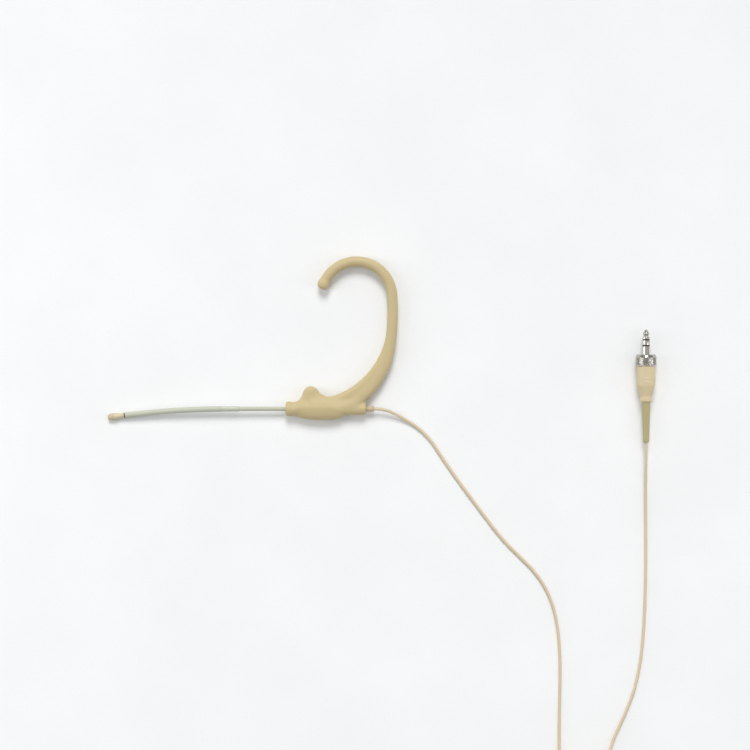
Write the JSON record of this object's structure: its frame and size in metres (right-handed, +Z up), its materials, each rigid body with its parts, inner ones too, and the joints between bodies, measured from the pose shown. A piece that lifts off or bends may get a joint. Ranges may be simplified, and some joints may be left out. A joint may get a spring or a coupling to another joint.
{
  "type": "headset microphone",
  "caption": "Single-ear headset microphone: soft ear hook on a thin bent boom, with a small capsule at its tip and a cord to a locking plug.",
  "frame": {"origin": "on the table under the middle of the headset's box, without the cord and its plug; the headset lies on its side with the ear side down", "axes": "+X from the mouth to the back of the head, along the boom; +Y from the jaw to the crown; +Z up from the table, away from the ear"},
  "size_m": [0.2545, 0.2568, 0.01],
  "materials": {
    "hook_silicone": "matt moulded silicone, pale tan",
    "bendable_wire": "soft drawn wire",
    "liner_plastic": "natural acetal",
    "boom_tube": "satin beige coating on a thin steel tube",
    "boom_sheath": "satin sleeve, pale olive grey",
    "clear_sleeve": "clear shrink sleeve, slightly milky",
    "gasket": "dark reddish brown ring",
    "capsule_shell": "satin pinkish beige",
    "mesh": "fine woven wire",
    "capsule_can": "drawn can",
    "board": "glass-fibre board",
    "film": "metallised film on a ring",
    "copper": "enamelled copper",
    "relief_rubber": "soft strain relief, pinkish beige",
    "cord_jacket": "satin jacket, beige",
    "contact_metal": "nickel plate",
    "insulator": "black nylon",
    "ring_metal": "knurled nickel plate",
    "barrel_plastic": "satin moulded barrel, beige",
    "core_plastic": "inner moulding",
    "plug_relief": "soft strain relief, olive tan",
    "tie_strap": "thin woven strap"
  },
  "bodies": {
    "microphone": {"boom_tube": "boom_tube", "boom_sheath": "boom_sheath", "sheath_clear_sleeve": "clear_sleeve", "boom_core_wire": "bendable_wire", "capsule_leads": "copper", "capsule_gasket": "gasket", "capsule_housing": "capsule_shell", "front_cap": "capsule_shell", "cap_mesh": "mesh", "capsule_can": "capsule_can", "capsule_board": "board", "back_plate": "capsule_can", "diaphragm": "film", "wire_splice": "copper", "cord_in_boom": "cord_jacket", "boom_strain_relief": "relief_rubber", "cord_lead": "cord_jacket", "cord_coil": "cord_jacket", "cord_tail": "cord_jacket", "coil_tie": "tie_strap", "tip_contact": "contact_metal", "tip_insulator": "insulator", "ring_contact": "contact_metal", "ring_insulator": "insulator", "sleeve_contact": "contact_metal", "plug_barrel": "barrel_plastic", "plug_core_block": "core_plastic", "plug_strain_relief": "plug_relief", "cord_in_plug": "cord_jacket", "plug_conductors": "copper", "barrel_marks": "liner_plastic"},
    "bush": {"friction_bush": "liner_plastic"},
    "hook": {"ear_hook": "hook_silicone", "hook_core_wire": "bendable_wire", "sleeve_liner": "liner_plastic"},
    "lock_ring": {"lock_ring": "ring_metal"}
  },
  "joints": [
    {"name": "hook_slide", "type": "slide", "parent": "microphone", "child": "bush", "axis": [-1, 0, 0], "range_m": [0, 0.0213]},
    {"name": "hook_turn", "type": "hinge", "parent": "bush", "child": "hook", "pos_m": [0.03406, -0.0328, 0.004], "axis": [1, 0, 0], "range_deg": [0, 180]},
    {"name": "lock_ring_spin", "type": "hinge", "parent": "microphone", "child": "lock_ring", "pos_m": [0.1823, -0.01025, 0.00488], "axis": [0, 1, 0], "continuous": true}
  ]
}
